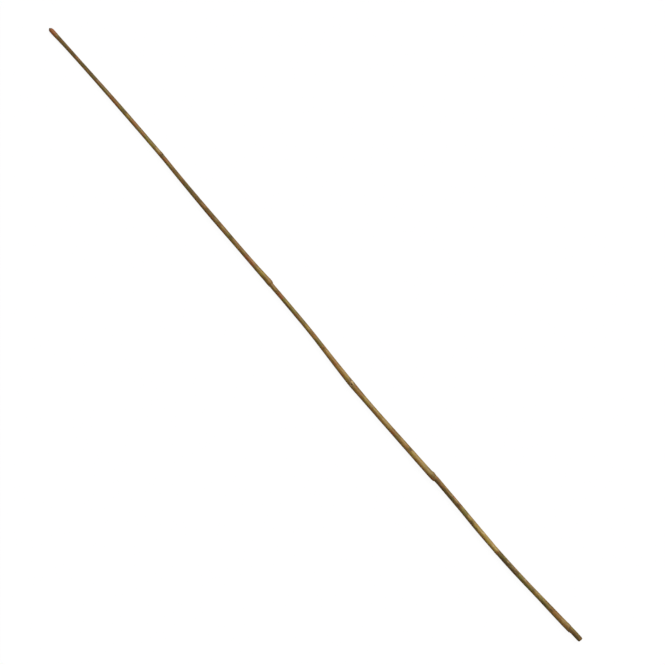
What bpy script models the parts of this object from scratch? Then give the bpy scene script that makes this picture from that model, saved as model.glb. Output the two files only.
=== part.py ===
# A bamboo cane, cut at both ends and lying on a flat surface.
# The thin end is at -X, the thick end at +X, and +Z is up.
# The cane is one solid. Each stretch between two nodes starts wide at the node on its
# thick side, narrows towards the thin end, and meets the next node as a small step.
# A station is a distance along X from the thin end. Side 0 degrees is +Y and 90 is +Z.

import math
from collections import namedtuple

import bmesh
import bpy
from mathutils import Vector

MM = 0.001

# Whole cane
CANE_LENGTH = 1.800
CANE_SIDES = 20
RING_SIDES = [360 * (i + 0.5) / CANE_SIDES for i in range(CANE_SIDES)]
RING_SPACING = 0.016  # between two nodes, about how far one ring lies from the next

# One node: where it is, the height of the scar that the leaf sheath left, the height of
# the round ridge beside it, and how far the scar slants towards the thick end, and on
# which side.
Node = namedtuple("Node", "station scar ridge slant slant_side")
NODES = [
    Node(0.0200, 0.20 * MM, 0.20 * MM, 0.4 * MM, 30),
    Node(0.3780, 0.20 * MM, 0.15 * MM, 0.8 * MM, 200),
    Node(0.7520, 0.35 * MM, 0.20 * MM, 1.2 * MM, 210),
    Node(1.0390, 0.35 * MM, 0.30 * MM, 0.4 * MM, 250),
    Node(1.3140, 0.45 * MM, 0.35 * MM, 4.0 * MM, 185),
    Node(1.5330, 0.25 * MM, 0.15 * MM, 1.0 * MM, 20),
    Node(1.7650, 0.40 * MM, 0.25 * MM, 4.0 * MM, 180),
]
TIP_REST, MIDDLE_REST, BUTT_REST = NODES[0], NODES[3], NODES[6]

# Diameters at even steps along each stretch, from its thin end to its thick end. The
# first one is the cut head that stands past the first node.
GIRTHS = [
    [9.7, 9.6],
    [9.5, 8.5, 8.8, 9.5, 9.9, 9.9, 10.0],
    [9.9, 9.9, 10.7, 11.5, 10.9, 11.4, 11.9],
    [10.6, 10.5, 10.6, 10.6, 11.4, 12.5, 13.2],
    [13.3, 12.1, 12.4, 13.0, 13.8, 14.0],
    [11.5, 11.9, 12.1, 12.6, 11.6],
    [11.8, 12.2, 11.9, 12.4, 13.5, 13.4],
    [12.2, 12.0, 12.2],
]

# A swelling on one side of a node: its height, side, how far round it reaches, its lengths
# towards the thin end and the thick end, and whether a bud or a branch grew from it.
Shoulder = namedtuple("Shoulder", "node height side spread thinward thickward bud")
SHOULDERS = [
    Shoulder(0, 0.4 * MM, 190, 70, 20 * MM, 20 * MM, False),
    Shoulder(1, 0.3 * MM, 20, 50, 12 * MM, 2 * MM, True),
    Shoulder(2, 1.7 * MM, 15, 55, 42 * MM, 2 * MM, True),
    Shoulder(3, 0.9 * MM, 104, 38, 9 * MM, 3 * MM, True),
    Shoulder(3, 0.5 * MM, 205, 60, 30 * MM, 25 * MM, False),
    Shoulder(4, 0.7 * MM, 195, 60, 26 * MM, 3 * MM, False),
    Shoulder(4, 1.2 * MM, 10, 45, 7 * MM, 16 * MM, True),
    Shoulder(5, 0.4 * MM, 150, 40, 8 * MM, 2 * MM, True),
    Shoulder(6, 1.0 * MM, 190, 60, 22 * MM, 3 * MM, False),
]

# On the thin side of a bud the cane is a little flattened, in a groove that runs out
# along the stretch.
GROOVE_START = -6.4 * MM  # from the node's scar
GROOVE_RISE = 15 * MM
GROOVE_DEPTH = 0.30 * MM
GROOVE_LENGTH = 75 * MM
GROOVE_SPREAD = 26  # degrees

# Lines across the node, measured from its scar towards the thick end
STEP_START, STEP_END = -1.0 * MM, 1.8 * MM
SCAR_WIDTH = 0.9 * MM
DIP_PLACE, DIP_WIDTH, DIP_SHARE = -2.3 * MM, 1.0 * MM, 0.5
RIDGE_PLACE, RIDGE_WIDTH = -5.5 * MM, 3.2 * MM
SLANT_REACH = 14 * MM
NODE_RINGS = [-18, -12, -8, -5.5, -3.5, -2.3, -1.2, 0, 1.0, 2.0, 3.5, 6, 11]  # mm

# Sideways course of the centreline, as station and distance towards +Y
SIDE_COURSE = [
    (0, 0.4), (60, 1.7), (140, 2.9), (250, 3.7), (378, 3.1),
    (440, 1.3), (520, -0.3), (600, -0.8), (700, -1.2), (752, -1.3), (830, -2.1),
    (890, -3.5), (930, -5.4), (985, -8.4), (1039, -10.4), (1110, -11.1), (1215, -10.1),
    (1300, -8.9), (1326, -7.3), (1350, -7.4), (1400, -8.0), (1470, -9.7), (1533, -10.1),
    (1600, -8.8), (1680, -5.2), (1745, -2.2), (1767, -0.3), (1800, 1.1),
]  # mm

# Height of the centreline over the surface. At the three nodes that carry the cane it is
# the ridge's reach below the centreline less the worn flat. The others stand clear.
REST_FLAT_DEPTH = 0.28 * MM
HEIGHTS = [(190, 6.6), (378, 7.0), (560, 7.8), (752, 8.0), (900, 7.3),
           (1180, 8.0), (1314, 8.7), (1533, 8.2), (1660, 7.2)]  # mm

# Cut ends
TIP_TAPER = 5.0 * MM  # the thin end narrows to a blunt point over this length
TIP_FACE = 0.30  # share of the radius left flat
TIP_CURVE = 1.5
TIP_RINGS = 4
BUTT_BEVEL = 0.8 * MM
PITH_RADIUS = 2.2 * MM
PITH_DEPTH = 28 * MM
PITH_END = 0.6  # share of the pith's radius at its floor

CANE_COLOUR = (0.205, 0.125, 0.040, 1)
CANE_ROUGHNESS = 0.5


def bell(distance, width):
    """1 in the middle, falling to nothing a few widths away."""
    return math.exp(-((distance / width) ** 2))


def ease(value, start, end):
    """0 before start, 1 after end and a smooth rise between."""
    share = min(max((value - start) / (end - start), 0), 1)
    return share * share * (3 - 2 * share)


def degrees_apart(a, b):
    return abs((a - b + 180) % 360 - 180)


def smooth_through(points, x):
    """A smooth curve through points of rising x."""
    last = len(points) - 1
    index = min(max(sum(p[0] <= x for p in points) - 1, 0), last - 1)

    def slope(i):
        before, after = points[max(i - 1, 0)], points[min(i + 1, last)]
        return (after[1] - before[1]) / (after[0] - before[0])

    (x0, y0), (x1, y1) = points[index], points[index + 1]
    span = x1 - x0
    t = (x - x0) / span
    return (
        (2 * t**3 - 3 * t**2 + 1) * y0
        + (t**3 - 2 * t**2 + t) * span * slope(index)
        + (3 * t**2 - 2 * t**3) * y1
        + (t**3 - t**2) * span * slope(index + 1)
    )


ENDS = [0] + [n.station for n in NODES] + [CANE_LENGTH]


def stretch_radius(index, station):
    """Radius that a stretch has on its own, also a little past its ends."""
    girths = GIRTHS[index]
    start, end = ENDS[index], ENDS[index + 1]
    places = [start + (end - start) * i / (len(girths) - 1) for i in range(len(girths))]
    held = min(max(station, start), end)
    return smooth_through(list(zip(places, girths)), held) * MM / 2


def groove(station, side):
    depth = 0
    for shoulder in SHOULDERS:
        out = NODES[shoulder.node].station + GROOVE_START - station
        if out > 0 and shoulder.bud:
            along = ease(out, 0, GROOVE_RISE) * bell(out, GROOVE_LENGTH)
            depth += along * bell(degrees_apart(side, shoulder.side), GROOVE_SPREAD)
    return depth * GROOVE_DEPTH


def cane_radius(station, side):
    """Radius before the scars slant, at a station and on a side."""
    nearest = min(range(len(NODES)), key=lambda i: abs(NODES[i].station - station))
    thin_side = stretch_radius(nearest, station)
    thick_side = stretch_radius(nearest + 1, station)
    step = ease(station - NODES[nearest].station, STEP_START, STEP_END)
    radius = thin_side * (1 - step) + thick_side * step
    for node in NODES:
        past = station - node.station
        radius += node.scar * bell(past, SCAR_WIDTH)
        radius -= node.scar * DIP_SHARE * bell(past - DIP_PLACE, DIP_WIDTH)
        radius += node.ridge * bell(past - RIDGE_PLACE, RIDGE_WIDTH)
    for shoulder in SHOULDERS:
        past = station - NODES[shoulder.node].station
        along = bell(past, shoulder.thickward if past > 0 else shoulder.thinward)
        around = bell(degrees_apart(side, shoulder.side), shoulder.spread)
        radius += shoulder.height * along * around
    return radius - groove(station, side)


def slant(station, side):
    """How far towards the thick end the scars carry the surface on one side."""
    return sum(
        n.slant * math.cos(math.radians(side - n.slant_side))
        * bell(station - n.station, SLANT_REACH)
        for n in NODES
    )


def height_course():
    """Points of the centreline's height, with the three nodes that carry the cane."""
    points = [(station * MM, height * MM) for station, height in HEIGHTS]
    for node in (TIP_REST, MIDDLE_REST, BUTT_REST):
        ridge = node.station + RIDGE_PLACE
        reach = max(-math.sin(math.radians(s)) * cane_radius(ridge, s) for s in RING_SIDES)
        points.append((ridge, reach - REST_FLAT_DEPTH))
    points.sort()
    first, last = points[0], points[-1]
    return [(0, first[1])] + points + [(CANE_LENGTH, last[1] + 0.5 * MM)]


SIDE_POINTS = [(station * MM, y * MM) for station, y in SIDE_COURSE]
HEIGHT_POINTS = height_course()


def centre(station):
    y = smooth_through(SIDE_POINTS, station)
    z = smooth_through(HEIGHT_POINTS, station)
    return Vector((station, y, z))


def surface_point(station, side, radius):
    """A point at a radius from the centreline, square to its course."""
    reach = 1.0 * MM
    before = max(station - reach, 0)
    after = min(station + reach, CANE_LENGTH)
    along = (centre(after) - centre(before)).normalized()
    up = (Vector((0, 0, 1)) - along * along.z).normalized()
    left = up.cross(along)
    angle = math.radians(side)
    out = left * math.cos(angle) + up * math.sin(angle)
    return centre(station) + out * radius


def ring_stations():
    """Stations of all rings, close together at the nodes and even between them."""
    fixed = {TIP_TAPER, CANE_LENGTH - BUTT_BEVEL}
    for node in NODES:
        for offset in NODE_RINGS:
            station = node.station + offset * MM
            if TIP_TAPER < station < CANE_LENGTH - BUTT_BEVEL:
                fixed.add(station)
    fixed = sorted(fixed)
    stations = [fixed[0]]
    for start, end in zip(fixed, fixed[1:]):
        count = max(1, round((end - start) / RING_SPACING))
        stations += [start + (end - start) * (i + 1) / count for i in range(count)]
    return stations


def add_ring(bm, station, radius_share=1, radius=None):
    ring = []
    for side in RING_SIDES:
        out = radius or cane_radius(station, side) * radius_share
        moved = 0 if radius else slant(station, side)
        ring.append(bm.verts.new(surface_point(station + moved, side, out)))
    return ring


def cane_rings(bm):
    """Rings from the thin end's face, along the cane, into the thick end's pith."""
    rings = []
    for i in range(TIP_RINGS):
        along = i / TIP_RINGS
        share = 1 - (1 - TIP_FACE) * (1 - along) ** TIP_CURVE
        rings.append(add_ring(bm, TIP_TAPER * along, share))
    rings += [add_ring(bm, station) for station in ring_stations()]
    outer = cane_radius(CANE_LENGTH, 0)
    rings.append(add_ring(bm, CANE_LENGTH, (outer - BUTT_BEVEL) / outer))
    rings.append(add_ring(bm, CANE_LENGTH, radius=PITH_RADIUS))
    rings.append(add_ring(bm, CANE_LENGTH - PITH_DEPTH, radius=PITH_RADIUS))
    floor = CANE_LENGTH - PITH_DEPTH - PITH_RADIUS
    rings.append(add_ring(bm, floor, radius=PITH_RADIUS * PITH_END))
    return rings


def cane_mesh():
    bm = bmesh.new()
    rings = cane_rings(bm)
    for ring, following in zip(rings, rings[1:]):
        for i in range(CANE_SIDES):
            j = (i + 1) % CANE_SIDES
            bm.faces.new((ring[i], ring[j], following[j], following[i]))
    bm.faces.new(rings[0])
    bm.faces.new(rings[-1])

    # The three low nodes are worn flat where they touch the surface
    for vert in bm.verts:
        vert.co.z = max(vert.co.z, 0)

    # The origin lies under the middle of the cane
    for axis in range(2):
        places = [vert.co[axis] for vert in bm.verts]
        middle = (min(places) + max(places)) / 2
        for vert in bm.verts:
            vert.co[axis] -= middle

    bmesh.ops.triangulate(bm, faces=bm.faces)
    bmesh.ops.recalc_face_normals(bm, faces=bm.faces)
    mesh = bpy.data.meshes.new("cane")
    bm.to_mesh(mesh)
    bm.free()
    mesh.shade_smooth()
    mesh.set_sharp_from_angle(angle=math.radians(50))
    return mesh


def cane_material():
    material = bpy.data.materials.new("cane")
    material.use_nodes = True
    shader = material.node_tree.nodes["Principled BSDF"]
    shader.inputs["Base Color"].default_value = CANE_COLOUR
    shader.inputs["Roughness"].default_value = CANE_ROUGHNESS
    shader.inputs["Metallic"].default_value = 0
    return material


def main():
    for old in list(bpy.data.objects):
        bpy.data.objects.remove(old)
    mesh = cane_mesh()
    mesh.materials.append(cane_material())
    cane = bpy.data.objects.new("cane", mesh)
    bpy.context.scene.collection.objects.link(cane)


main()
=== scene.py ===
# Bamboo cane, cut at both ends and lying on a pale floor.
# The imported solid gives its course, girth and place. The skin modelled here is pulled onto that
# solid, then gets its sheath scars, trimmed branches, buds, cut ends, weathered colours, painted
# highlight on its lit upper side and painted shade in the pits of its trimmed branches.
# A station is a distance from the thin end, in metres. A side is an angle round the cane, in
# degrees: 0 is +Y, the upper right of the picture, 90 is +Z, up to the camera.

import math

import bmesh
import bpy
import numpy as np
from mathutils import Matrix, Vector, noise
from mathutils.bvhtree import BVHTree


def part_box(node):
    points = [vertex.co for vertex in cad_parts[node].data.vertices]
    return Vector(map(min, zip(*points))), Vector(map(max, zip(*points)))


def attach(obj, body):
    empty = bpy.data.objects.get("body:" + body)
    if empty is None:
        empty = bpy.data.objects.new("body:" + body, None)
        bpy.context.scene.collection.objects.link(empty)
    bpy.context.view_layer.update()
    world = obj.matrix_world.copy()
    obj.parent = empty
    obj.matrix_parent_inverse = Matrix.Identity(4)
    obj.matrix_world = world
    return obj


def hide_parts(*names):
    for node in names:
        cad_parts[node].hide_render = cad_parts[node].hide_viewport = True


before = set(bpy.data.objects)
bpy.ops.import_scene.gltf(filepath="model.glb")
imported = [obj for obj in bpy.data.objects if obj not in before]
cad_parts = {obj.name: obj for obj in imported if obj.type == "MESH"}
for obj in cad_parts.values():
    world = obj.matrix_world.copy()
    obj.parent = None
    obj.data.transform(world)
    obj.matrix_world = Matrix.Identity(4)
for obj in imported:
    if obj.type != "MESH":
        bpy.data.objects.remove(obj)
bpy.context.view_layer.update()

mm = 0.001
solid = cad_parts["cane"]
boxLow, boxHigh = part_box("cane")
bpy.ops.object.select_all(action="DESELECT")


# Small helpers

def bell(distance, width):
    return np.exp(-((distance / width) ** 2))  # 1 in the middle, nearly 0 at two widths


def ease(value, start, end):
    share = np.clip((value - start) / (end - start), 0, 1)
    return share * share * (3 - 2 * share)


def degreesApart(a, b):
    return np.abs((a - b + 180) % 360 - 180)


def raggedNoise(first, second, third=0.0):
    return np.array([noise.noise(Vector((a, b, c)))
                     for a, b, c in np.broadcast(first, second, third)])


def openForEditing(thing, kind="FACE"):
    bpy.ops.object.select_all(action="DESELECT")
    thing.select_set(True)
    bpy.context.view_layer.objects.active = thing
    bpy.ops.object.mode_set(mode="EDIT")
    bpy.ops.mesh.select_mode(type=kind)


def closeEditing():
    bpy.ops.object.mode_set(mode="OBJECT")


def pick(thing, parts, test):
    # in edit mode, selects only the "verts", "edges" or "faces" that pass the test
    bpy.ops.mesh.select_all(action="DESELECT")
    form = bmesh.from_edit_mesh(thing.data)
    for part in getattr(form, parts):
        if test(part):
            part.select_set(True)
    bmesh.update_edit_mesh(thing.data)


def finishModifier(thing, kind, **settings):
    modifier = thing.modifiers.new(kind.lower(), kind)
    for name, value in settings.items():
        setattr(modifier, name, value)
    bpy.ops.object.select_all(action="DESELECT")
    thing.select_set(True)
    bpy.context.view_layer.objects.active = thing
    bpy.ops.object.modifier_apply(modifier=modifier.name)


# Course of the cane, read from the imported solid

course = {
    "step": 5 * mm,
    "rays": 20,
    "farOut": 25 * mm,    # where the rays start
    "clearOfEnds": 1 * mm,
}


def readCourse():
    # middle and mean radius of the solid's section at even stations, from rays cast inwards
    tree = BVHTree.FromPolygons([v.co for v in solid.data.vertices],
                                [p.vertices for p in solid.data.polygons])
    length = boxHigh.x - boxLow.x
    count = int(length / course["step"])
    stations = np.linspace(course["clearOfEnds"], length - course["clearOfEnds"], count)
    turns = [2 * math.pi * i / course["rays"] for i in range(course["rays"])]
    middle = Vector((0, 0, (boxLow.z + boxHigh.z) / 2))
    rows = []
    for station in stations:
        for again in range(3):
            middle.x = boxLow.x + station
            hits = []
            for turn in turns:
                out = Vector((0, math.cos(turn), math.sin(turn)))
                hit = tree.ray_cast(middle + out * course["farOut"], -out)[0]
                if hit:
                    hits.append(hit)
            if hits:
                middle = sum(hits, Vector()) / len(hits)
        radius = sum((hit - middle).length for hit in hits) / len(hits)
        rows.append((station, middle.y, middle.z, radius))
    return np.array(rows)


courseRows = readCourse()
print("course read at", len(courseRows), "stations")


def courseAt(station):
    # y and z of the middle and the mean radius, for one station or many
    return [np.interp(station, courseRows[:, 0], courseRows[:, i]) for i in (1, 2, 3)]


# Nodes, from the thin end. The sheath scar leans towards the thick end on leanSide.
nodes = [
    {"station": 0.020, "lean": 0.4 * mm, "leanSide": 30, "lip": 0.12 * mm, "wax": 0.0},
    {"station": 0.378, "lean": 0.8 * mm, "leanSide": 200, "lip": 0.16 * mm, "wax": 0.5},
    {"station": 0.752, "lean": 1.2 * mm, "leanSide": 210, "lip": 0.22 * mm, "wax": 0.6},
    {"station": 1.039, "lean": 0.4 * mm, "leanSide": 250, "lip": 0.22 * mm, "wax": 1.0},
    {"station": 1.314, "lean": 4.0 * mm, "leanSide": 185, "lip": 0.26 * mm, "wax": 0.6},
    {"station": 1.533, "lean": 1.0 * mm, "leanSide": 20, "lip": 0.18 * mm, "wax": 0.2},
    {"station": 1.765, "lean": 4.0 * mm, "leanSide": 180, "lip": 0.24 * mm, "wax": 0.6},
]
leanReach = 14 * mm


def leanShift(station, side):
    return sum(node["lean"] * np.cos(np.radians(side - node["leanSide"]))
               * bell(station - node["station"], leanReach) for node in nodes)


# Where a branch or a bud grew, just on the thin side of its scar. "proud" is how far the
# trimmed face stands out of the skin, and "pit" how deep its rotted middle is.
branches = [
    {"node": 1, "side": 20, "back": 3.0, "long": 2.0, "wide": 1.4, "proud": 0.25, "pit": 0.0},
    {"node": 2, "side": 22, "back": 4.4, "long": 3.2, "wide": 2.4, "proud": 0.10, "pit": 0.5},
    {"node": 3, "side": 102, "back": 1.5, "long": 3.5, "wide": 2.9, "proud": 0.40, "pit": 1.4},
    {"node": 4, "side": 14, "back": 4.6, "long": 2.9, "wide": 2.3, "proud": 0.20, "pit": 0.6},
    {"node": 5, "side": 150, "back": 3.2, "long": 2.1, "wide": 1.6, "proud": 0.25, "pit": 0.3},
]  # lengths in millimetres
branchRagged = 0.16    # how uneven the outline of a trimmed face is


def branchPlaces(station, side, radius, branch):
    # how far out from the middle of the trimmed face, in shares of its size, and which way
    middle = nodes[branch["node"]]["station"] - branch["back"] * mm
    turned = (side - branch["side"] + 180) % 360 - 180
    along = (station - middle) / (branch["long"] * mm)
    across = np.radians(turned) * radius / (branch["wide"] * mm)
    out = np.hypot(along, across)
    way = np.arctan2(across, along)
    ragged = raggedNoise(np.cos(way) * 1.7 + branch["node"], np.sin(way) * 1.7, out * 0.5)
    return out * (1 + 2 * branchRagged * ragged), way, turned


# Skin of the cane

skin = {
    "sides": 64,
    "startsAt": 5.0 * mm,     # the thin end's blunt point begins here
    "endsBefore": 0.8 * mm,   # the bevel of the sawn end
    "courseStep": 24 * mm,    # rings that follow the course
    "nodeRings": (3, 8, 18, 33),         # mm on both sides of a scar
    "spacings": (0.4, 0.75, 1.6, 2.8),   # mm between rings up to each of these
    "wideSpacing": 4.0,
    "looseBy": 0.4 * mm,      # how far the bare tube stands off the solid
    "offset": 0.20 * mm,      # makes up for the smoothing of the solid's corners
}
caneEnd = boxHigh.x - boxLow.x


def keyStations():
    start, end = skin["startsAt"], caneEnd - skin["endsBefore"]
    keys = {start, end}
    for node in nodes:
        for reach in skin["nodeRings"]:
            keys |= {node["station"] - reach * mm, node["station"] + reach * mm}
    keys = sorted(k for k in keys if start <= k <= end)
    spread = []
    for a, b in zip(keys, keys[1:]):
        count = max(1, round((b - a) / skin["courseStep"]))
        spread += [a + (b - a) * i / count for i in range(count)]
    return spread + [end]


def cutsFor(a, b):
    # how many rings go between two key stations
    away = min(abs((a + b) / 2 - node["station"]) for node in nodes) / mm
    spacing = skin["wideSpacing"]
    for reach, close in zip(reversed(skin["nodeRings"]), reversed(skin["spacings"])):
        if away < reach:
            spacing = close
    return max(0, round((b - a) / (spacing * mm)) - 1)


def smoothSolid():
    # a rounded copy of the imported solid, for the skin to be pulled onto
    copy = solid.copy()
    copy.data = solid.data.copy()
    copy.name = "smoothSolid"
    bpy.context.collection.objects.link(copy)
    openForEditing(copy)
    bpy.ops.mesh.select_all(action="SELECT")
    bpy.ops.mesh.remove_doubles(threshold=1e-6)
    bpy.ops.mesh.tris_convert_to_quads(face_threshold=0.7, shape_threshold=3.14)
    closeEditing()
    finishModifier(copy, "SUBSURF", levels=2, render_levels=2)
    return copy


def growTube():
    # one ring at the thin end, extruded from key station to key station
    keys = keyStations()
    y, z, radius = courseAt(keys[0])
    radius += skin["looseBy"]
    bpy.ops.mesh.primitive_circle_add(vertices=skin["sides"], radius=radius, fill_type="NOTHING",
                                      location=(boxLow.x + keys[0], y, z),
                                      rotation=(0, math.pi / 2, 0))
    tube = bpy.context.object
    tube.name = "bambooCane"
    bpy.ops.object.transform_apply(location=True, rotation=True, scale=True)
    openForEditing(tube, "EDGE")
    bpy.ops.mesh.select_all(action="SELECT")
    place = Vector((boxLow.x + keys[0], y, z))
    for station in keys[1:]:
        y, z, wide = courseAt(station)
        after = Vector((boxLow.x + station, y, z))
        wide += skin["looseBy"]
        bpy.ops.mesh.extrude_region_move(TRANSFORM_OT_translate={"value": after - place})
        bpy.ops.transform.resize(value=(1, wide / radius, wide / radius), center_override=after)
        place, radius = after, wide

    # rings between the key stations, made by cutting the edges that run along the cane
    sections = {}
    for a, b in zip(keys, keys[1:]):
        sections.setdefault(cutsFor(a, b), []).append((boxLow.x + a, boxLow.x + b))
    for cuts, spans in sorted(sections.items()):
        if cuts == 0:
            continue

        def runsAlong(edge):
            low, high = sorted(v.co.x for v in edge.verts)
            middle = (low + high) / 2
            return high - low > 0.1 * mm and any(a < middle < b for a, b in spans)

        pick(tube, "edges", runsAlong)
        bpy.ops.mesh.subdivide(number_cuts=cuts)
    closeEditing()
    return tube


def meshPoints(thing):
    points = np.empty(len(thing.data.vertices) * 3)
    thing.data.vertices.foreach_get("co", points)
    return points.reshape(-1, 3)


def setPoints(thing, points):
    thing.data.vertices.foreach_set("co", points.ravel())
    thing.data.update()


def placesOn(points):
    # station with the lean taken out, side, distance from the middle, mean radius there
    straight = points[:, 0] - boxLow.x
    y, z, radius = courseAt(straight)
    side = np.degrees(np.arctan2(points[:, 2] - z, points[:, 1] - y)) % 360
    away = np.hypot(points[:, 1] - y, points[:, 2] - z)
    station = straight
    for again in range(3):
        station = straight - leanShift(station, side)
    return station, side, away, radius


def leanRings(tube):
    points = meshPoints(tube)
    straight = points[:, 0] - boxLow.x
    y, z, radius = courseAt(straight)
    side = np.degrees(np.arctan2(points[:, 2] - z, points[:, 1] - y))
    points[:, 0] += leanShift(straight, side)
    setPoints(tube, points)


tube = growTube()
print("tube grown:", len(tube.data.vertices), "points")
leanRings(tube)
target = smoothSolid()
finishModifier(tube, "SHRINKWRAP", target=target, wrap_method="PROJECT", use_negative_direction=True,
               use_positive_direction=True, offset=skin["offset"])
bpy.data.objects.remove(target)
print("skin pulled onto the solid")


# Cut ends

ends = {
    "tipRings": 12,
    "tipFace": 0.22,         # share of the radius left flat at the thin end
    "tipCurve": 1.5,
    "faceRings": (0.86, 0.5),        # rings on the thin end's flat face, as shares of it
    "bevelRings": 3,
    "bevelShare": 0.88,
    "wallRings": (0.78, 0.66, 0.53),  # rings on the sawn wall, shares of the radius
    "pithShare": 0.36,
    "pithDepth": 28 * mm,
    "pithRings": 5,
    "pithEnd": 0.6,
}


def endRing(tube, atThickEnd):
    # selects the open edge loop at one end, and gives its middle
    pick(tube, "edges", lambda e: e.is_boundary and (e.verts[0].co.x > 0) == atThickEnd)
    spots = [v.co for v in bmesh.from_edit_mesh(tube.data).verts if v.select]
    return sum(spots, Vector()) / len(spots)


def nextRing(middle, along, share):
    bpy.ops.mesh.extrude_region_move(TRANSFORM_OT_translate={"value": (along, 0, 0)})
    after = middle + Vector((along, 0, 0))
    bpy.ops.transform.resize(value=(1, share, share), center_override=after)
    return after


def shapeEnds(tube):
    openForEditing(tube, "EDGE")

    # thin end: a worn blunt point, closed by a small flat face
    middle = endRing(tube, False)
    reach, share = middle.x - boxLow.x, 1
    count = ends["tipRings"]
    for i in range(count):
        goal = 1 - (1 - ends["tipFace"]) * ((i + 1) / count) ** ends["tipCurve"]
        middle = nextRing(middle, -reach / count, goal / share)
        share = goal
    for part in ends["faceRings"]:
        middle = nextRing(middle, 0, part * ends["tipFace"] / share)
        share = part * ends["tipFace"]
    bpy.ops.mesh.edge_face_add()

    # thick end: a small bevel, the sawn wall and the pith hole
    middle = endRing(tube, True)
    reach, share = boxHigh.x - middle.x, 1
    count = ends["bevelRings"]
    for i in range(count):
        turn = math.pi / 2 * (i + 1) / count
        goal = ends["bevelShare"] + (1 - ends["bevelShare"]) * math.cos(turn)
        along = math.sin(turn) - math.sin(math.pi / 2 * i / count)
        middle = nextRing(middle, reach * along, goal / share)
        share = goal
    for goal in ends["wallRings"] + (ends["pithShare"],):
        middle = nextRing(middle, 0, goal / share)
        share = goal
    for i in range(ends["pithRings"]):
        goal = ends["pithShare"] * (1 - (1 - ends["pithEnd"]) * (i + 1) / ends["pithRings"])
        middle = nextRing(middle, -ends["pithDepth"] / ends["pithRings"], goal / share)
        share = goal
    bpy.ops.mesh.edge_face_add()
    closeEditing()


shapeEnds(tube)
print("ends cut")


# Relief: sheath scars, trimmed branches and slight unevenness

relief = {
    "lipWidth": 0.42 * mm,
    "lipRagged": 0.7,
    "lipWander": 0.35 * mm,
    "creasePlace": -1.0 * mm,
    "creaseWidth": 0.5 * mm,
    "creaseShare": 0.6,
    "unevenHeight": 0.10 * mm,
    "unevenLong": 34 * mm,
    "unevenWide": 7 * mm,
    "patchReach": 1.9,        # shares of a trimmed face that get finer faces
    "patchCuts": 2,
    "faceEdge": (0.92, 1.22),        # this and the next three also in shares of it
    "pitEdge": (0.28, 0.66),
    "collarAt": 1.45,
    "collarWidth": 0.24,
    "collar": 0.12 * mm,
    "knifeMarks": 0.07 * mm,
    "scarDip": 1.5 * mm,      # how far the scar bends round a branch, towards the thick end
    "scarDipSpread": 34,
    "grooveDepth": 0.16 * mm,  # a flute runs from each branch towards the thin end
    "grooveSpread": 15,
    "grooveLong": 60 * mm,
    "grooveStarts": 12 * mm,   # how far from the branch it takes to get deep
    "tipUneven": 0.35 * mm,
    "tipReach": (3 * mm, 7 * mm),
    "sawMarks": 0.05 * mm,
}


def pastScar(i, station, side):
    # how far past the wandering line of a node's sheath scar, towards the thick end
    node, turn = nodes[i], np.radians(side)
    past = station - node["station"]
    past = past - relief["lipWander"] * raggedNoise(np.cos(turn) * 1.6 + i, np.sin(turn) * 1.6, 3.0)
    for branch in branches:
        if branch["node"] == i:
            apart = degreesApart(side, branch["side"])
            past = past - relief["scarDip"] * bell(apart, relief["scarDipSpread"])
    return past


def refineBranches(tube):
    openForEditing(tube)
    for branch in branches:
        form = bmesh.from_edit_mesh(tube.data)
        middles = np.array([tuple(f.calc_center_median()) for f in form.faces])
        station, side, away, radius = placesOn(middles)
        out, way, turned = branchPlaces(station, side, radius, branch)
        near = (out < relief["patchReach"]) & (np.abs(turned) < 90)
        pick(tube, "faces", lambda face: near[face.index])
        bpy.ops.mesh.subdivide(number_cuts=relief["patchCuts"])
    closeEditing()


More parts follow.
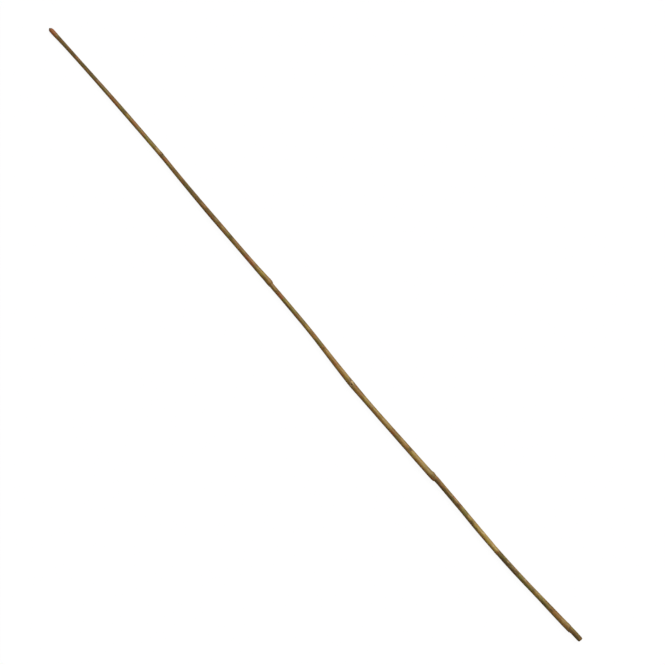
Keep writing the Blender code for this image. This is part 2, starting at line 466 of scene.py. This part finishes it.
def addRelief(tube):
    points = meshPoints(tube)
    station, side, away, radius = placesOn(points)
    turn = np.radians(side)
    onWall = (away > 0.93 * radius) & (station > 0) & (station < caneEnd - skin["endsBefore"])
    lift = np.zeros(len(points))
    lift += relief["unevenHeight"] * raggedNoise(station / relief["unevenLong"],
                                                 np.cos(turn) * radius / relief["unevenWide"],
                                                 np.sin(turn) * radius / relief["unevenWide"])
    for i, node in enumerate(nodes):
        close = np.abs(station - node["station"]) < 6 * mm
        c, s = np.cos(turn[close]), np.sin(turn[close])
        past = pastScar(i, station[close], side[close])
        ragged = 1 + relief["lipRagged"] * raggedNoise(c * 4.5, s * 4.5 + i, 7.0)
        lift[close] += node["lip"] * ragged * bell(past, relief["lipWidth"])
        crease = bell(past - relief["creasePlace"], relief["creaseWidth"])
        lift[close] -= node["lip"] * relief["creaseShare"] * crease
    for branch in branches:
        ahead = nodes[branch["node"]]["station"] - (branch["back"] + branch["long"]) * mm - station
        flute = ease(ahead, 0, relief["grooveStarts"]) * bell(ahead, relief["grooveLong"])
        apart = degreesApart(side, branch["side"])
        lift -= relief["grooveDepth"] * flute * bell(apart, relief["grooveSpread"])
        out, way, turned = branchPlaces(station, side, radius, branch)
        near = (out < 3) & (np.abs(turned) < 80)
        out, way, turned = out[near], way[near], turned[near]
        middle = out < 0.8
        height = (away[near] * np.cos(np.radians(turned)))[middle].mean() + branch["proud"] * mm
        flat = height / np.cos(np.radians(turned)) - away[near]
        flat += relief["knifeMarks"] * raggedNoise(out * np.cos(way) * 2.6, out * np.sin(way) * 0.7, 9.0)
        cut = 1 - ease(out, *relief["faceEdge"])
        lift[near] = lift[near] * (1 - cut) + flat * cut
        lift[near] -= branch["pit"] * mm * (1 - ease(out, *relief["pitEdge"]))
        lift[near] += relief["collar"] * bell(out - relief["collarAt"], relief["collarWidth"])
    lift[~onWall] = 0

    # the blunt point is a little lopsided
    fullTo, endsAt = relief["tipReach"]
    onTip = (station < endsAt) & (away > 0.2 * radius)
    c, s = np.cos(turn[onTip]), np.sin(turn[onTip])
    worn = raggedNoise(c * 1.3, s * 1.3, station[onTip] * 260)
    lift[onTip] += relief["tipUneven"] * ease(-station[onTip], -endsAt, -fullTo) * worn
    points[:, 1] += lift * np.cos(turn)
    points[:, 2] += lift * np.sin(turn)

    # the sawn face is a little uneven, and the cane lies on the flats worn on its nodes
    sawn = (points[:, 0] > boxHigh.x - 0.05 * mm)
    marks = raggedNoise(points[sawn][:, 1] * 900, points[sawn][:, 2] * 350)
    points[sawn, 0] += relief["sawMarks"] * (marks - 1)
    points[:, 2] = np.maximum(points[:, 2], boxLow.z)
    setPoints(tube, points)


refineBranches(tube)
addRelief(tube)
print("scars and branches shaped:", len(tube.data.polygons), "faces")

openForEditing(tube)
bpy.ops.mesh.select_all(action="SELECT")
bpy.ops.mesh.normals_make_consistent(inside=False)
closeEditing()
bpy.ops.object.shade_smooth_by_angle(angle=math.radians(48))


# Weathering and painted highlight, as brush strokes. Each is a finish, where it starts and ends in
# mm, its side, how far it reaches round in degrees (360 is all round) and how strong it is.
weatheringAndSheen = [
    # thin end to the first long node
    ("dark", -5, 3.8, 90, 360, 1.0), ("rust", 2, 20, 90, 360, 1.2), ("dark", 3, 18, 260, 70, 0.6),
    ("rust", 11, 20, 95, 80, 1.6), ("rust", 22, 28, 112, 35, 0.9), ("dark", 26, 89, 65, 55, 0.95),
    ("dark", 30, 42, 65, 50, 0.7), ("rust", 31, 38, 112, 28, 0.7), ("dark", 42, 84, 60, 60, 0.8),
    ("dark", 50, 66, 120, 40, 0.5), ("olive", 68, 82, 105, 50, 0.5), ("rust", 84, 92, 70, 40, 0.6),
    ("dark", 86, 94, 110, 40, 0.4), ("rust", 98, 108, 60, 40, 0.5), ("dark", 100, 156, 62, 50, 0.93),
    ("olive", 109, 128, 60, 50, 0.9), ("dark", 110, 130, 75, 50, 0.5), ("grey", 124, 165, 60, 50, 0.8),
    ("olive", 128, 150, 120, 40, 0.6), ("grey", 136, 158, 115, 40, 0.5), ("olive", 162, 196, 90, 60, 0.5),
    ("grey", 176, 198, 60, 45, 0.5), ("dark", 190, 200, 125, 35, 0.6), ("rust", 200, 216, 80, 60, 0.7),
    ("dark", 204, 232, 60, 40, 0.5), ("rust", 216, 231, 110, 40, 0.8), ("olive", 232, 256, 85, 70, 0.7),
    ("dark", 234, 258, 62, 48, 0.6), ("rust", 236, 244, 120, 30, 0.7), ("yellow", 254, 272, 100, 60, 0.6),
    ("olive", 258, 274, 60, 50, 0.5), ("rust", 276, 296, 90, 60, 0.6), ("olive", 298, 309, 80, 60, 0.6),
    ("yellow", 300, 312, 120, 40, 0.5), ("rust", 309, 317, 80, 45, 0.7), ("olive", 319, 357, 80, 70, 0.8),
    ("yellow", 322, 352, 112, 50, 0.7), ("grey", 326, 340, 30, 35, 0.7),
    ("straw", 356, 370, 60, 48, 0.85), ("amber", 357, 374, 105, 50, 0.6), ("dark", 376, 386, 65, 50, 0.9),
    # to the shouldered node
    ("rust", 384, 398, 90, 50, 0.7), ("dark", 384, 420, 45, 40, 0.5), ("olive", 400, 416, 105, 45, 0.5),
    ("dark", 416, 446, 60, 50, 0.6), ("grey", 418, 434, 35, 35, 0.7), ("olive", 430, 446, 115, 40, 0.5),
    ("dark", 440, 466, 50, 45, 0.7), ("dark", 448, 510, 65, 50, 0.88), ("rust", 449, 457, 105, 35, 0.9),
    ("olive", 460, 482, 105, 50, 0.6), ("grey", 472, 490, 50, 40, 0.9), ("grey", 484, 500, 130, 35, 0.6),
    ("olive", 486, 500, 80, 60, 0.6), ("dark", 492, 516, 55, 50, 0.9), ("amber", 500, 518, 112, 35, 0.6),
    ("rust", 520, 534, 85, 45, 0.6), ("dark", 528, 560, 62, 48, 0.76), ("dark", 530, 560, 60, 45, 0.7),
    ("rust", 540, 556, 110, 35, 0.5), ("dark", 540, 590, 150, 40, 0.6), ("grey", 552, 568, 60, 40, 0.7),
    ("dark", 569, 582, 65, 48, 0.75), ("rust", 574, 600, 105, 45, 0.6), ("yellow", 582, 598, 60, 35, 0.4),
    ("olive", 603, 624, 85, 70, 0.85), ("yellow", 606, 618, 115, 35, 0.5),
    ("dark", 609, 622, 62, 45, 0.85), ("rust", 628, 642, 55, 40, 0.6), ("amber", 630, 652, 112, 40, 0.6),
    ("rust", 645, 652, 90, 40, 0.5), ("yellow", 652, 664, 60, 40, 0.6), ("rust", 664, 698, 95, 55, 0.8),
    ("straw", 676, 698, 50, 40, 0.8), ("dark", 702, 716, 150, 35, 0.5), ("yellow", 702, 742, 75, 70, 0.7),
    ("straw", 706, 730, 55, 30, 0.4), ("amber", 742, 754, 90, 60, 0.7),
    # to the node with the open branch scar
    ("yellow", 758, 768, 105, 40, 0.5), ("dark", 770, 784, 85, 65, 0.7), ("rust", 775, 794, 90, 55, 1.0),
    ("olive", 794, 846, 80, 70, 0.85), ("yellow", 800, 822, 70, 45, 0.7),
    ("dark", 803, 826, 130, 35, 0.8), ("straw", 824, 838, 58, 45, 0.9), ("rust", 834, 848, 100, 35, 0.6),
    ("rust", 850, 858, 115, 35, 0.6), ("olive", 852, 872, 60, 60, 0.7), ("yellow", 868, 884, 85, 50, 0.6),
    ("straw", 877, 886, 60, 45, 0.6), ("rust", 886, 892, 60, 40, 0.4), ("amber", 886, 912, 110, 45, 0.8),
    ("dark", 892, 904, 55, 40, 0.5), ("yellow", 906, 920, 85, 50, 0.4), ("olive", 908, 930, 85, 80, 0.8),
    ("rust", 929, 942, 75, 45, 0.7), ("dark", 934, 940, 80, 18, 1.3), ("amber", 940, 1016, 95, 80, 0.75),
    ("straw", 944, 960, 60, 40, 0.8), ("rust", 958, 966, 80, 40, 0.6), ("rust", 972, 984, 90, 45, 0.6),
    ("straw", 976, 1000, 55, 35, 0.6), ("straw", 998, 1024, 58, 42, 0.75),
    ("rust", 1006, 1020, 125, 32, 0.7), ("yellow", 1010, 1030, 80, 60, 0.6),
    ("amber", 1016, 1036, 120, 40, 0.6), ("pale", 1032, 1040, 56, 25, 1.3),
    ("dark", 1033, 1042, 22, 20, 1.2),
    ("pale", 1039, 1042, 122, 20, 0.95), ("pale", 1040, 1043, 62, 20, 0.8),
    # to the step
    ("rust", 1044, 1052, 70, 40, 0.5), ("amber", 1044, 1078, 100, 70, 0.7),
    ("yellow", 1070, 1100, 100, 60, 0.6), ("straw", 1076, 1130, 55, 45, 0.8),
    ("olive", 1084, 1098, 120, 35, 0.6), ("amber", 1106, 1140, 120, 45, 0.5),
    ("yellow", 1108, 1140, 70, 50, 0.6), ("straw", 1138, 1168, 60, 50, 0.9),
    ("amber", 1142, 1166, 115, 40, 0.8), ("yellow", 1158, 1172, 90, 50, 0.5),
    ("rust", 1164, 1186, 115, 30, 0.7), ("olive", 1176, 1204, 60, 50, 0.5),
    ("yellow", 1184, 1200, 110, 45, 0.5), ("straw", 1196, 1222, 50, 40, 0.7),
    ("dark", 1198, 1210, 118, 42, 0.6), ("amber", 1200, 1296, 105, 60, 0.9),
    ("rust", 1216, 1226, 125, 30, 0.6), ("olive", 1224, 1231, 60, 40, 0.7),
    ("dark", 1224, 1236, 90, 70, 0.55), ("yellow", 1236, 1262, 90, 50, 0.5),
    ("straw", 1238, 1306, 62, 52, 1.25), ("rust", 1252, 1270, 122, 32, 0.7),
    ("grey", 1284, 1308, 35, 35, 0.7), ("grey", 1306, 1317, 75, 45, 0.6),
    ("rust", 1307, 1318, 118, 32, 0.8),
    # dark stretch past the step; its pale strokes on the lit upper side are painted highlight
    ("dark", 1316, 1384, 110, 60, 0.9), ("grey", 1316, 1384, 70, 50, 0.4),
    ("rust", 1318, 1332, 65, 45, 0.6), ("rust", 1338, 1350, 95, 35, 0.9),
    ("pale", 1344, 1398, 55, 38, 0.4), ("straw", 1354, 1374, 55, 40, 0.8),
    ("rust", 1372, 1382, 30, 30, 0.8), ("dark", 1384, 1402, 95, 80, 0.7),
    ("rust", 1386, 1402, 85, 50, 0.5), ("olive", 1402, 1428, 80, 80, 0.8),
    ("dark", 1404, 1436, 125, 40, 0.5), ("straw", 1404, 1450, 58, 45, 1.0),
    ("yellow", 1426, 1442, 80, 45, 0.5), ("dark", 1438, 1450, 90, 70, 0.75),
    ("rust", 1440, 1450, 90, 40, 0.4), ("dark", 1449, 1466, 125, 42, 0.85),
    ("straw", 1450, 1530, 60, 52, 1.35), ("yellow", 1452, 1528, 85, 70, 0.8),
    ("pale", 1456, 1528, 62, 48, 0.5), ("rust", 1468, 1492, 118, 30, 0.7),
    # brown and green thick end; its pale strokes on the lit upper side are painted highlight
    ("rust", 1528, 1535, 110, 60, 0.7), ("dark", 1534, 1600, 97, 120, 0.84),
    ("olive", 1538, 1604, 70, 60, 0.8), ("pale", 1554, 1598, 54, 38, 0.43),
    ("grey", 1570, 1592, 50, 45, 0.5), ("straw", 1574, 1624, 50, 40, 0.8),
    ("olive", 1600, 1640, 105, 70, 1.1), ("dark", 1608, 1636, 120, 50, 0.6),
    ("grey", 1612, 1626, 40, 40, 0.7), ("pale", 1612, 1668, 52, 34, 0.40),
    ("yellow", 1622, 1650, 55, 40, 0.4), ("dark", 1636, 1652, 100, 60, 0.5),
    ("olive", 1640, 1700, 95, 80, 0.7), ("yellow", 1650, 1664, 90, 60, 0.5),
    ("straw", 1663, 1682, 56, 45, 1.1), ("dark", 1672, 1694, 110, 50, 0.7),
    ("dark", 1702, 1709, 92, 20, 1.3), ("dark", 1705, 1718, 80, 60, 0.65),
    ("amber", 1712, 1760, 110, 50, 0.5), ("straw", 1736, 1764, 60, 45, 0.6),
    ("rust", 1762, 1773, 128, 30, 1.0), ("rust", 1764, 1784, 95, 40, 0.7),
    ("dark", 1764, 1802, 110, 70, 0.9),
    ("olive", 1766, 1790, 35, 40, 0.9), ("dark", 1784, 1802, 60, 60, 0.5),
]
finishes = ("amber", "straw", "olive", "yellow", "grey", "rust", "dark", "pale")
dressing = {
    "strokeFade": 0.25,               # share of a stroke that fades out at each end
    "strokeFadeMost": 5,              # in mm
    "scarStrength": 0.85,
    "scarWidth": 0.55 * mm,
    "waxStarts": (0.4 * mm, 1.6 * mm),
    "waxEnds": (5 * mm, 11 * mm),
    "cutEdge": (0.9, 1.25),           # this and the next four in shares of a trimmed face
    "rimAt": 1.4,
    "rimWidth": 0.16,
    "rimStrength": 0.62,
    "pitShadeEdge": (0.3, 0.62),
    "pitShadeFullAt": 0.6,                 # depth of a pit, in mm, whose painted shade is full
}


def paintWeatheringAndSheen(tube):
    # stores the places and one mask for each finish as attributes that the material reads
    points = meshPoints(tube)
    station, side, away, radius = placesOn(points)
    turn = np.radians(side)
    grain = np.stack([station, away * np.cos(turn), away * np.sin(turn)], 1)
    stored = tube.data.attributes.new("grain", "FLOAT_VECTOR", "POINT")
    stored.data.foreach_set("vector", grain.astype(np.float32).ravel())
    masks = {name: np.zeros(len(points)) for name in finishes}
    for name, start, end, middleSide, spread, strength in weatheringAndSheen:
        soft = min(dressing["strokeFade"] * (end - start), dressing["strokeFadeMost"]) * mm
        along = ease(station, start * mm - soft, start * mm + soft)
        along *= 1 - ease(station, end * mm - soft, end * mm + soft)
        around = bell(degreesApart(side, middleSide), spread) if spread < 360 else 1
        masks[name] = np.maximum(masks[name], strength * along * around)

    # what the nodes bring along: a dark line at the scar, set a little towards the crease on its
    # thin side, a pale waxy band on its thick side, and trimmed faces with painted shade in their pits
    scar, wax, cut, pitShade = (np.zeros(len(points)) for i in range(4))
    for i, node in enumerate(nodes):
        past = pastScar(i, station, side)
        line = bell(past - relief["creasePlace"] * 0.6, dressing["scarWidth"])
        scar = np.maximum(scar, dressing["scarStrength"] * line)
        band = ease(past, *dressing["waxStarts"]) * (1 - ease(past, *dressing["waxEnds"]))
        wax = np.maximum(wax, node["wax"] * band)
    for branch in branches:
        out, way, turned = branchPlaces(station, side, radius, branch)
        out = np.where(np.abs(turned) < 80, out, 9)
        cut = np.maximum(cut, 1 - ease(out, *dressing["cutEdge"]))
        rim = bell(out - dressing["rimAt"], dressing["rimWidth"])
        scar = np.maximum(scar, dressing["rimStrength"] * rim)
        # painted shade in the pit, darker the deeper the pit
        depth = min(branch["pit"] / dressing["pitShadeFullAt"], 1)
        pitShade = np.maximum(pitShade, depth * (1 - ease(out, *dressing["pitShadeEdge"])))
    sawn = ((away < 0.86 * radius) & (station > caneEnd - 5 * mm)).astype(float)
    masks |= {"scar": scar, "wax": wax, "cut": cut, "pitShade": pitShade, "sawn": sawn}
    for name, mask in masks.items():
        stored = tube.data.attributes.new(name, "FLOAT", "POINT")
        stored.data.foreach_set("value", mask.astype(np.float32))


paintWeatheringAndSheen(tube)
print("weathering painted")


# UV map: seven rows of the cane under each other, and its ends above them
sheet = {
    "rows": 7,
    "rowHeight": 0.132,
    "margin": 0.012,
    "seamSide": 270,      # underneath
    "endsAt": 0.962,      # height of the ends' islands
    "endsScale": 3.6,     # map units per metre
}


def layUvMap(tube):
    data = tube.data
    points = meshPoints(tube)
    station, side, away, radius = placesOn(points)
    turned = (side - sheet["seamSide"]) % 360
    straight = points[:, 0] - boxLow.x
    rowLength = caneEnd / sheet["rows"]
    room = 1 - 2 * sheet["margin"]
    y, z = courseAt(straight)[:2]
    layer = data.uv_layers.new(name="OFBake")
    for face in data.polygons:
        corners = list(face.vertices)
        middle = points[corners].mean(0)
        atThickEnd = middle[0] > boxHigh.x - 60 * mm
        inPith = atThickEnd and away[corners].max() < 0.42 * radius[corners].mean()
        flatEnd = abs(face.normal.x) > 0.6 and (middle[0] > boxHigh.x - 2 * mm
                                                or middle[0] < boxLow.x + 4 * mm)
        row = min(int((middle[0] - boxLow.x) / rowLength), sheet["rows"] - 1)
        about = turned[corners[0]]
        for loop, corner in zip(face.loop_indices, corners):
            if flatEnd or (inPith and abs(face.normal.x) > 0.6):
                island = 0.06 if middle[0] < 0 else 0.24 if inPith else 0.15
                u = island + (points[corner, 1] - y[corner]) * sheet["endsScale"]
                v = sheet["endsAt"] + (points[corner, 2] - z[corner]) * sheet["endsScale"]
            else:
                swing = (turned[corner] - about + 180) % 360 - 180
                share = (about + swing) / 360
                if inPith:
                    u = 0.34 + (boxHigh.x - points[corner, 0]) * sheet["endsScale"]
                    v = sheet["endsAt"] + (share - 0.5) * 0.04
                else:
                    u = sheet["margin"] + room * (straight[corner] / rowLength - row)
                    v = (row + 0.03 + 0.94 * share) * sheet["rowHeight"]
            layer.data[loop].uv = (u, v)


layUvMap(tube)
print("UV map laid out")


# Materials

class Wire:
    # a shader socket that can stand in a Python sum
    def __init__(self, finish, out):
        self.finish, self.out = finish, out

    def maths(self, operation, *values):
        return self.finish.add("ShaderNodeMath", {"operation": operation}, dict(enumerate(values)))

    def __add__(self, other):
        return self.maths("ADD", self, other)

    __radd__ = __add__

    def __sub__(self, other):
        return self.maths("SUBTRACT", self, other)

    def __rsub__(self, other):
        return self.maths("SUBTRACT", other, self)

    def __mul__(self, other):
        return self.maths("MULTIPLY", self, other)

    __rmul__ = __mul__


class Finish:
    # one material and the method that adds its nodes
    def __init__(self, name):
        self.material = bpy.data.materials.new(name)
        self.material.use_nodes = True
        self.tree = self.material.node_tree
        self.shader = self.tree.nodes["Principled BSDF"]

    def add(self, kind, settings=None, sockets=None, output=0):
        node = self.tree.nodes.new(kind)
        for name, value in (settings or {}).items():
            setattr(node, name, value)
        for name, value in (sockets or {}).items():
            self.join(node.inputs[name], value)
        return Wire(self, node.outputs[output])

    def join(self, socket, value):
        if isinstance(value, Wire):
            self.tree.links.new(value.out, socket)
        else:
            socket.default_value = value

    def stored(self, name, output="Fac"):
        return self.add("ShaderNodeAttribute", {"attribute_name": name}, output=output)

    def mix(self, share, below, above):
        return self.add("ShaderNodeMix", {"data_type": "RGBA"}, {0: share, 6: below, 7: above}, 2)

    def stretched(self, place, along, across):
        return self.add("ShaderNodeVectorMath", {"operation": "MULTIPLY"},
                        {0: place, 1: (1 / along, 1 / across, 1 / across)})

    def clouds(self, place, along, across, detail=2, rough=0.5):
        # noise whose patches are about that long and wide, in metres
        return self.add("ShaderNodeTexNoise", None,
                        {"Vector": self.stretched(place, along, across), "Scale": 1.0,
                         "Detail": detail, "Roughness": rough})

    def specks(self, place, along, across):
        return self.add("ShaderNodeTexVoronoi", None,
                        {"Vector": self.stretched(place, along, across), "Scale": 1.0}, "Distance")

    def between(self, value, start, end):
        return self.add("ShaderNodeMapRange", {"interpolation_type": "SMOOTHSTEP"},
                        {"Value": value, "From Min": start, "From Max": end})


skinColours = {
    "tan": (0.285, 0.152, 0.028, 1),
    "straw": (0.400, 0.265, 0.078, 1),
    "amber": (0.355, 0.178, 0.030, 1),
    "brown": (0.165, 0.080, 0.013, 1),
    "olive": (0.150, 0.132, 0.014, 1),
    "yellow": (0.350, 0.240, 0.022, 1),
    "grey": (0.180, 0.125, 0.050, 1),
    "rust": (0.310, 0.078, 0.012, 1),
    "dark": (0.082, 0.050, 0.010, 1),
    # pale: a pale ring at the open branch, and painted highlight on the lit upper side of the thick end
    "pale": (0.560, 0.390, 0.180, 1),
    "wax": (0.430, 0.310, 0.130, 1),
    "cut": (0.420, 0.270, 0.115, 1),
    "cutDark": (0.160, 0.085, 0.028, 1),
    "scar": (0.048, 0.026, 0.009, 1),
    # painted shade for the pits of the trimmed branches
    "pitShade": (0.110, 0.052, 0.012, 1),
    "endGrain": (0.340, 0.235, 0.125, 1),
    "endDots": (0.120, 0.070, 0.032, 1),
}


# How long and how wide the patterns in the skin are, and for the cloudy ones how much finer
# detail they have and how rough it is
skinPatterns = {
    "fibre": (60 * mm, 0.55 * mm, 3, 0.55),
    "streak": (70 * mm, 2.6 * mm, 3, 0.5),
    "patch": (24 * mm, 7 * mm, 3, 0.6),
    "fleck": (3.2 * mm, 1.1 * mm, 2, 0.6),
    "blotch": (19 * mm, 4.0 * mm, 4, 0.6),
    "mottle": (9 * mm, 1.9 * mm, 4, 0.62),
    "breakUp": (16 * mm, 2.6 * mm, 4, 0.65),
    "splits": (110 * mm, 0.42 * mm, 1, 0.5),
    "dirt": (5.5 * mm, 2.2 * mm),
    "mould": (1.5 * mm, 1.0 * mm),
    "endDots": (40 * mm, 0.75 * mm),
}
skinFinish = {
    "ragged": 2.4,        # how far noise breaks up the outline of a stroke
    "strokes": 0.9,       # how strong the strokes of the weathering and of the painted highlight are
    "stains": 0.45,       # and the stains that run through everything
    "fibres": 0.30,
    "gloss": 0.38,
    "bumps": 0.12 * mm,
}


def weatheredBambooWithPaintedLight():
    finish = Finish("weatheredBambooWithPaintedLight")
    place = finish.stored("grain", "Vector")
    fibre = finish.clouds(place, *skinPatterns["fibre"])
    streak = finish.clouds(place, *skinPatterns["streak"])
    patch = finish.clouds(place, *skinPatterns["patch"])
    fleck = finish.clouds(place, *skinPatterns["fleck"])
    blotch = finish.clouds(place, *skinPatterns["blotch"])
    mottle = finish.clouds(place, *skinPatterns["mottle"])
    dirt = finish.specks(place, *skinPatterns["dirt"])

    colour = finish.mix(finish.between(streak * 0.6 + patch * 0.4, 0.38, 0.62),
                        skinColours["brown"], skinColours["tan"])
    colour = finish.mix(finish.between(patch * 0.5 + fleck * 0.5, 0.52, 0.72) * 0.6,
                        colour, skinColours["straw"])

    # the painted strokes, each with its own noise to break up its outline
    for i, name in enumerate(finishes):
        shifted = finish.add("ShaderNodeVectorMath", {"operation": "ADD"},
                             {0: place, 1: (0.31 * (i + 1), 0, 0)})
        breakUp = (finish.clouds(shifted, *skinPatterns["breakUp"]) - 0.5) * skinFinish["ragged"]
        mask = finish.between(finish.stored(name) + breakUp, 0.28, 0.86)
        colour = finish.mix(mask * skinFinish["strokes"], colour, skinColours[name])

    # stains that run through everything: rust against olive, and smaller yellow against brown
    stains = skinFinish["stains"]
    colour = finish.mix(finish.between(blotch, 0.53, 0.68) * stains, colour, skinColours["rust"])
    colour = finish.mix((1 - finish.between(blotch, 0.33, 0.48)) * stains, colour, skinColours["olive"])
    colour = finish.mix(finish.between(mottle, 0.54, 0.70) * stains, colour, skinColours["yellow"])
    colour = finish.mix((1 - finish.between(mottle, 0.30, 0.46)) * stains, colour, skinColours["brown"])

    # the strongest rust, at the thin end, shows through the stains
    tipRust = finish.between(finish.stored("rust") + (streak - 0.5) * 2.0, 1.0, 1.7)
    colour = finish.mix(tipRust * 0.55, colour, skinColours["rust"])

    # small dark flecks, specks of dirt, dots of mould and fine splits
    flecks = finish.between(fleck, 0.60, 0.70) * finish.between(patch, 0.42, 0.60)
    colour = finish.mix(flecks * 0.45, colour, skinColours["dark"])
    spots = (1 - finish.between(dirt, 0.10, 0.17)) * finish.between(streak, 0.5, 0.6)
    colour = finish.mix(spots * 0.7, colour, skinColours["scar"])
    mould = 1 - finish.between(finish.specks(place, *skinPatterns["mould"]), 0.16, 0.26)
    mould = mould * finish.between(blotch, 0.50, 0.40) * finish.between(patch, 0.48, 0.60)
    colour = finish.mix(mould * 0.75, colour, skinColours["scar"])
    splits = finish.between(finish.clouds(place, *skinPatterns["splits"]), 0.735, 0.775)
    colour = finish.mix(splits * 0.7, colour, skinColours["scar"])

    # fibres lighten and darken everything a little
    fibres = skinFinish["fibres"]
    colour = finish.mix(finish.between(fibre, 0.50, 0.85) * fibres, colour, skinColours["straw"])
    colour = finish.mix((1 - finish.between(fibre, 0.22, 0.47)) * fibres, colour, skinColours["dark"])

    # wax and the dark scar line at the nodes, and the trimmed branches with painted shade in their pits
    wax = finish.stored("wax") * finish.between(fleck * 0.4 + streak * 0.6, 0.36, 0.60)
    colour = finish.mix(wax * 0.22, colour, skinColours["wax"])
    scar = finish.between(finish.stored("scar") + (fleck - 0.5) * 0.9, 0.42, 0.85)
    colour = finish.mix(scar * 0.80, colour, skinColours["scar"])
    cutWood = finish.mix(finish.between(fleck * 0.6 + fibre * 0.4, 0.40, 0.60),
                         skinColours["cutDark"], skinColours["cut"])
    colour = finish.mix(finish.stored("cut") * 0.85, colour, cutWood)
    # painted shade in the pits of the trimmed branches
    colour = finish.mix(finish.between(finish.stored("pitShade") + (fleck - 0.5) * 0.6, 0.25, 0.75),
                        colour, skinColours["pitShade"])

    # the sawn end: wood with the dark ends of its fibre bundles
    dots = 1 - finish.between(finish.specks(place, *skinPatterns["endDots"]), 0.22, 0.40)
    endWood = finish.mix(finish.between(fleck * 0.5 + patch * 0.5, 0.40, 0.62) * 0.7,
                         skinColours["endGrain"], skinColours["cutDark"])
    endGrain = finish.mix(dots * 0.8, endWood, skinColours["endDots"])
    sawn = finish.stored("sawn")
    colour = finish.mix(sawn, colour, endGrain)

    finish.join(finish.shader.inputs["Base Color"], colour)
    rough = 0.40 + patch * 0.14 + fibre * 0.10 + scar * 0.25 + sawn * 0.25
    rough = rough + finish.stored("cut") * 0.3 + finish.stored("dark") * 0.2
    finish.join(finish.shader.inputs["Roughness"], rough)
    height = fibre * 0.5 + fleck * 0.25 + streak * 0.3 - spots * 0.5 - scar * 0.4 - splits * 1.2
    bump = finish.add("ShaderNodeBump", None,
                      {"Strength": 0.5, "Distance": skinFinish["bumps"], "Height": height})
    finish.join(finish.shader.inputs["Normal"], bump)
    finish.shader.inputs["Specular IOR Level"].default_value = skinFinish["gloss"]
    return finish.material


tube.data.materials.clear()
tube.data.materials.append(weatheredBambooWithPaintedLight())
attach(tube, "root")
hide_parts("cane")
print("cane dressed")


# Floor, light and camera

floorLook = {
    "width": 9.0,
    "glow": 0.955,    # keeps the ground white, as in the picture
    "grey": 0.06,     # what little shadow it takes
}


def makeFloor():
    bpy.ops.object.select_all(action="DESELECT")
    bpy.ops.mesh.primitive_plane_add(size=floorLook["width"], location=(0, 0, boxLow.z))
    floor = bpy.context.object
    floor.name = "paleFloor"
    bpy.ops.object.transform_apply(location=True, rotation=True, scale=True)
    finish = Finish("paleFloor")
    grey, glow = floorLook["grey"], floorLook["glow"]
    finish.shader.inputs["Base Color"].default_value = (grey, grey, grey, 1)
    finish.shader.inputs["Roughness"].default_value = 1
    finish.shader.inputs["Specular IOR Level"].default_value = 0
    finish.shader.inputs["Emission Color"].default_value = (glow, glow, glow, 1)
    finish.shader.inputs["Emission Strength"].default_value = 1
    floor.data.materials.append(finish.material)
    floor.visible_glossy = False


light = {
    "key": 2.6,
    "keyHeight": 52,     # degrees above the floor, from the +Y side
    "keyTurn": 12,       # degrees towards the thin end
    "keySoft": 34,       # degrees across
    "room": 0.16,
}


def makeLight():
    bpy.ops.object.light_add(type="SUN", location=(0, 1.5, 1.5))
    key = bpy.context.object
    key.name = "keyLight"
    key.data.energy = light["key"]
    key.data.angle = math.radians(light["keySoft"])
    height, turn = math.radians(light["keyHeight"]), math.radians(light["keyTurn"])
    towards = Vector((-math.sin(turn) * math.cos(height), math.cos(turn) * math.cos(height),
                      math.sin(height)))
    key.rotation_euler = towards.to_track_quat("Z", "Y").to_euler()

    # a dim room for the cane, plain white for the camera
    world = bpy.data.worlds.new("room")
    bpy.context.scene.world = world
    world.use_nodes = True
    tree = world.node_tree
    shade = tree.nodes["Background"]
    shade.inputs["Color"].default_value = (1, 1, 1, 1)
    shade.inputs["Strength"].default_value = light["room"]
    seen = tree.nodes.new("ShaderNodeBackground")
    seen.inputs["Color"].default_value = (1, 1, 1, 1)
    rays = tree.nodes.new("ShaderNodeLightPath")
    mix = tree.nodes.new("ShaderNodeMixShader")
    tree.links.new(rays.outputs["Is Camera Ray"], mix.inputs["Fac"])
    tree.links.new(shade.outputs["Background"], mix.inputs[1])
    tree.links.new(seen.outputs["Background"], mix.inputs[2])
    tree.links.new(mix.outputs["Shader"], tree.nodes["World Output"].inputs["Surface"])
    bpy.context.scene.view_settings.view_transform = "Standard"


photo = {
    "side": 665,
    "thinEnd": (49.3, 28.1),     # pixels of the middle of each end, y down
    "thickEnd": (580.5, 639.95),
    "lens": 100,
    "film": 36,
}


def makeCamera():
    # looks straight down, at the height that gives the ends their places in the picture
    y0, z0 = courseAt(0)[:2]
    y1, z1 = courseAt(caneEnd)[:2]
    thin, thick = Vector((boxLow.x, y0)), Vector((boxHigh.x, y1))
    a = Vector((photo["thinEnd"][0], -photo["thinEnd"][1]))
    b = Vector((photo["thickEnd"][0], -photo["thickEnd"][1]))
    metresPerPixel = (thick - thin).length / (b - a).length
    turn = math.atan2(*(thick - thin).yx) - math.atan2(*(b - a).yx)
    middle = Vector((photo["side"] / 2, -photo["side"] / 2)) - a
    c, s = math.cos(turn), math.sin(turn)
    offset = Vector((middle.x * c - middle.y * s, middle.x * s + middle.y * c)) * metresPerPixel
    spot = thin + offset
    height = metresPerPixel * photo["side"] * photo["lens"] / photo["film"]
    bpy.ops.object.camera_add(location=(spot.x, spot.y, height + (z0 + z1) / 2), rotation=(0, 0, turn))
    camera = bpy.context.object
    camera.data.lens = photo["lens"]
    camera.data.sensor_width = photo["film"]
    camera.data.clip_end = 100
    bpy.context.scene.camera = camera


makeFloor()
makeLight()
makeCamera()
print("floor, light and camera set")
